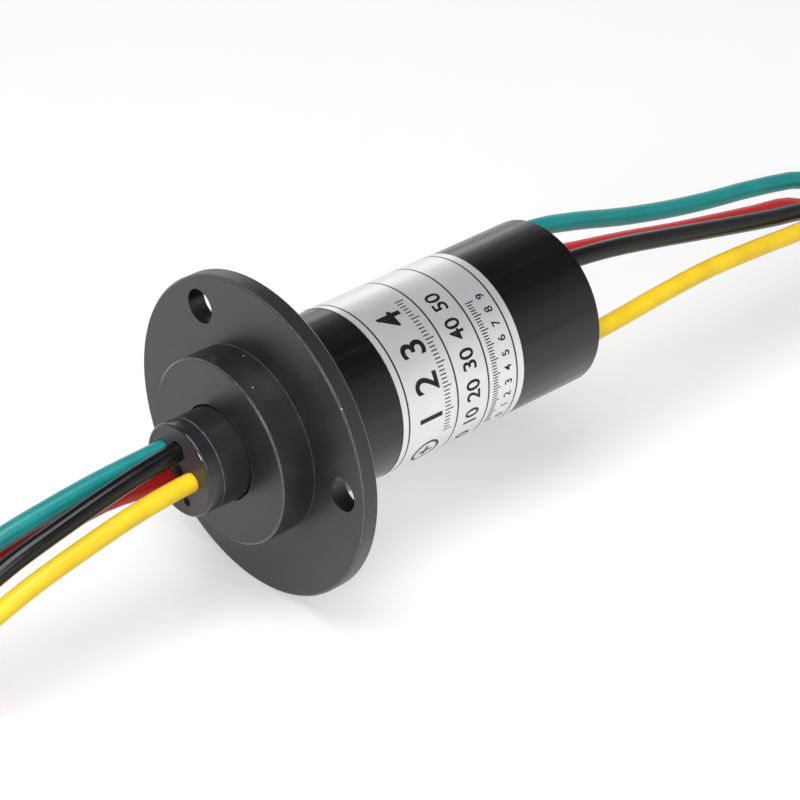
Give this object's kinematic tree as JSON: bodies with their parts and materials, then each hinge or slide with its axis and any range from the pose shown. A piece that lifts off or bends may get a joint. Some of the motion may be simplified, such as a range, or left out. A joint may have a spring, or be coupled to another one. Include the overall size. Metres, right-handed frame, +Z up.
{
  "type": "slip ring",
  "caption": "Flanged capsule slip ring: a rotor nub turns in a round flanged cover on a cylindrical barrel, with coloured leads leaving both ends.",
  "frame": {"origin": "centre of the flange's front face, on the axis of rotation", "axes": "+X along the axis of rotation from the rotor's nub towards the barrel's rear end, +Z up; the first fixing hole is 59 degrees from +Y towards +Z"},
  "size_m": [0.3519, 0.056, 0.056],
  "materials": {
    "cover_plastic": "matt moulded plastic with fine grain",
    "barrel_plastic": "satin black tube",
    "label_film": "satin silver film with black rules",
    "nub_plastic": "satin dark plastic",
    "plug_plastic": "glossy dark plastic",
    "potting_resin": "cast resin",
    "bearing_steel": "ground bearing steel",
    "cage_brass": "pressed brass",
    "shield_steel": "pressed steel",
    "spacer_plastic": "ivory insulating plastic",
    "nut_aluminium": "turned aluminium",
    "ring_gold": "gold plated brass",
    "brush_gold": "drawn precious metal wire",
    "board_laminate": "green glass laminate",
    "inner_lead": "insulated wire with tinned conductor",
    "lead_green": "teal green PVC",
    "lead_black": "black PVC",
    "lead_red": "red PVC",
    "lead_yellow": "yellow PVC",
    "lead_coil": "coiled PVC leads"
  },
  "bodies": {
    "stator": {"front_cover": "cover_plastic", "barrel": "barrel_plastic", "rear_cap": "barrel_plastic", "rating_label": "label_film", "front_bearing_outer": "bearing_steel", "front_bearing_shields": "shield_steel", "rear_bearing_outer": "bearing_steel", "rear_bearing_shields": "shield_steel", "preload_washer": "shield_steel", "cover_circlip": "shield_steel", "upper_brush_board": "board_laminate", "lower_brush_board": "board_laminate", "upper_brushes": "brush_gold", "lower_brushes": "brush_gold", "front_board_ring": "spacer_plastic", "rear_board_ring": "spacer_plastic", "stator_inner_leads": "inner_lead", "rear_lead_green": "lead_green", "rear_lead_black": "lead_black", "rear_lead_red": "lead_red", "rear_lead_yellow": "lead_yellow", "rear_coil": "lead_coil"},
    "rotor": {"rotor_shaft": "nub_plastic", "shaft_collar": "nub_plastic", "lead_plug": "plug_plastic", "nub_potting": "potting_resin", "stack_spacer": "spacer_plastic", "stack_nut": "nut_aluminium", "shaft_circlip": "shield_steel", "rotor_inner_leads": "inner_lead", "front_bearing_inner": "bearing_steel", "front_bearing_balls": "bearing_steel", "front_bearing_cage": "cage_brass", "rear_bearing_inner": "bearing_steel", "rear_bearing_balls": "bearing_steel", "rear_bearing_cage": "cage_brass", "front_coil": "lead_coil", "contact_ring_1": "ring_gold", "contact_ring_2": "ring_gold", "contact_ring_3": "ring_gold", "contact_ring_4": "ring_gold", "barrier_1": "spacer_plastic", "barrier_2": "spacer_plastic", "barrier_3": "spacer_plastic", "barrier_4": "spacer_plastic", "barrier_5": "spacer_plastic", "front_lead_green": "lead_green", "front_lead_black": "lead_black", "front_lead_red": "lead_red", "front_lead_yellow": "lead_yellow"}
  },
  "joints": [
    {"name": "rotor_spin", "type": "hinge", "parent": "stator", "child": "rotor", "pos_m": [0, 0, 0], "axis": [1, 0, 0], "continuous": true}
  ]
}
